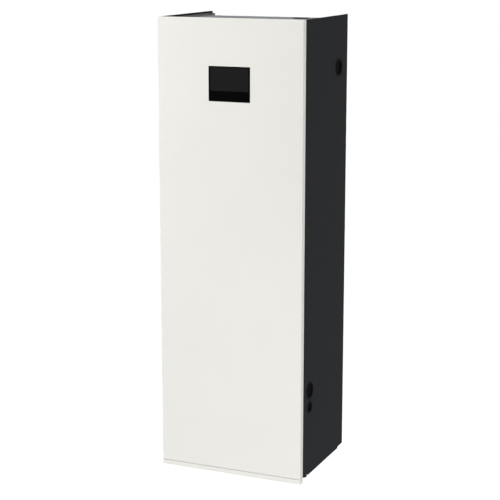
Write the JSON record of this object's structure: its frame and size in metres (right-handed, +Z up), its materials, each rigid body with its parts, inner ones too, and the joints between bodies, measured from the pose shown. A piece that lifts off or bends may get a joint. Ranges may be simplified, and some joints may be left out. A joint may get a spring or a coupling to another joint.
{
  "type": "wall battery unit",
  "caption": "Tall wall-hung battery cabinet with a tilting white front panel, a small black display near the top, dark side panels, battery modules and an inverter inside.",
  "frame": {"origin": "centre of the wall bracket's bolt pattern, on the wall plane", "axes": "+Z up along the cabinet's height, +Y into the wall, +X to the right seen from the front; the front panel faces -Y"},
  "size_m": [0.453, 0.36, 1.35],
  "materials": {
    "white_paint": "satin powder coat, warm white",
    "anthracite_paint": "fine satin powder coat, anthracite",
    "zinc_steel": "zinc-coated sheet steel",
    "bright_steel": "turned steel, bright",
    "aluminium": "bare cast and extruded aluminium",
    "copper": "bare copper",
    "black_plastic": "fine moulded texture",
    "grey_plastic": "fine moulded texture",
    "blue_film": "shrink film on the cells",
    "red_plastic": "moulded, glossy",
    "green_plastic": "moulded, glossy",
    "board_green": "solder mask",
    "display_glass": "black-printed cover glass",
    "display_dark": "unlit liquid crystal panel",
    "rubber": "matte"
  },
  "bodies": {
    "cabinet": {"blanking_plugs": "black_plastic", "bottom_strip": "white_paint", "box_lids": "zinc_steel", "corner_posts": "zinc_steel", "din_rail": "zinc_steel", "display_board": "board_green", "display_crossbar": "zinc_steel", "display_glass": "display_glass", "display_housing": "black_plastic", "display_lcd": "display_dark", "earth_stud": "copper", "fan_frames": "black_plastic", "fan_plate": "zinc_steel", "filter_inductors": "copper", "floor_plate": "anthracite_paint", "front_rails": "zinc_steel", "gland_bodies": "grey_plastic", "gland_nuts": "grey_plastic", "gland_seals": "rubber", "hanging_rail": "zinc_steel", "hanging_rod": "bright_steel", "heatsink": "aluminium", "internal_leads": "rubber", "inverter_board": "board_green", "inverter_brackets": "zinc_steel", "inverter_cover": "anthracite_paint", "inverter_housing": "aluminium", "isolator": "black_plastic", "left_side_panel": "anthracite_paint", "link_capacitors": "aluminium", "lock_housings": "bright_steel", "lower_spacer": "zinc_steel", "main_breaker": "grey_plastic", "main_contactor": "black_plastic", "module_busbars": "copper", "module_cases": "anthracite_paint", "module_cells": "blue_film", "module_handles": "black_plastic", "pv_connectors": "black_plastic", "rear_panel": "anthracite_paint", "right_side_panel": "anthracite_paint", "screws": "bright_steel", "shelves": "zinc_steel", "start_switch": "bright_steel", "strip_brackets": "zinc_steel", "terminal_blocks": "grey_plastic", "top_plate": "anthracite_paint", "unit_housing": "zinc_steel", "wall_bracket": "zinc_steel"},
    "front_panel": {"front_panel": "white_paint", "panel_stiffeners": "zinc_steel", "panel_hooks": "zinc_steel", "panel_catches": "bright_steel"},
    "left_lock_knob": {"left_lock_knob": "black_plastic"},
    "right_lock_knob": {"right_lock_knob": "black_plastic"},
    "isolator_knob": {"isolator_knob": "red_plastic"},
    "breaker_lever": {"breaker_lever": "green_plastic"},
    "start_button": {"start_button": "green_plastic"},
    "left_fan_rotor": {"left_fan_rotor": "black_plastic"},
    "right_fan_rotor": {"right_fan_rotor": "black_plastic"}
  },
  "joints": [
    {"name": "front_panel_tilt", "type": "hinge", "parent": "cabinet", "child": "front_panel", "pos_m": [0, -0.347, 0.144], "axis": [-1, 0, 0], "range_deg": [0, 25]},
    {"name": "left_lock_turn", "type": "hinge", "parent": "cabinet", "child": "left_lock_knob", "pos_m": [-0.213, -0.303, -1.176], "axis": [0, 0, -1], "range_deg": [0, 90]},
    {"name": "right_lock_turn", "type": "hinge", "parent": "cabinet", "child": "right_lock_knob", "pos_m": [0.213, -0.303, -1.176], "axis": [0, 0, 1], "range_deg": [0, 90]},
    {"name": "isolator_turn", "type": "hinge", "parent": "cabinet", "child": "isolator_knob", "pos_m": [-0.12, -0.24, -1.17], "axis": [0, 0, 1], "range_deg": [0, 90]},
    {"name": "breaker_lever_throw", "type": "hinge", "parent": "cabinet", "child": "breaker_lever", "pos_m": [-0.123, -0.312, -0.25], "axis": [-1, 0, 0], "range_deg": [0, 50]},
    {"name": "start_button_press", "type": "slide", "parent": "cabinet", "child": "start_button", "axis": [0, 1, 0], "range_m": [0, 0.003], "stiffness_N_per_m": 400, "springref_m": -0.001},
    {"name": "left_fan_spin", "type": "hinge", "parent": "cabinet", "child": "left_fan_rotor", "pos_m": [-0.1, -0.07, -0.197], "axis": [0, 0, 1], "continuous": true},
    {"name": "right_fan_spin", "type": "hinge", "parent": "cabinet", "child": "right_fan_rotor", "pos_m": [0.1, -0.07, -0.197], "axis": [0, 0, 1], "continuous": true}
  ]
}
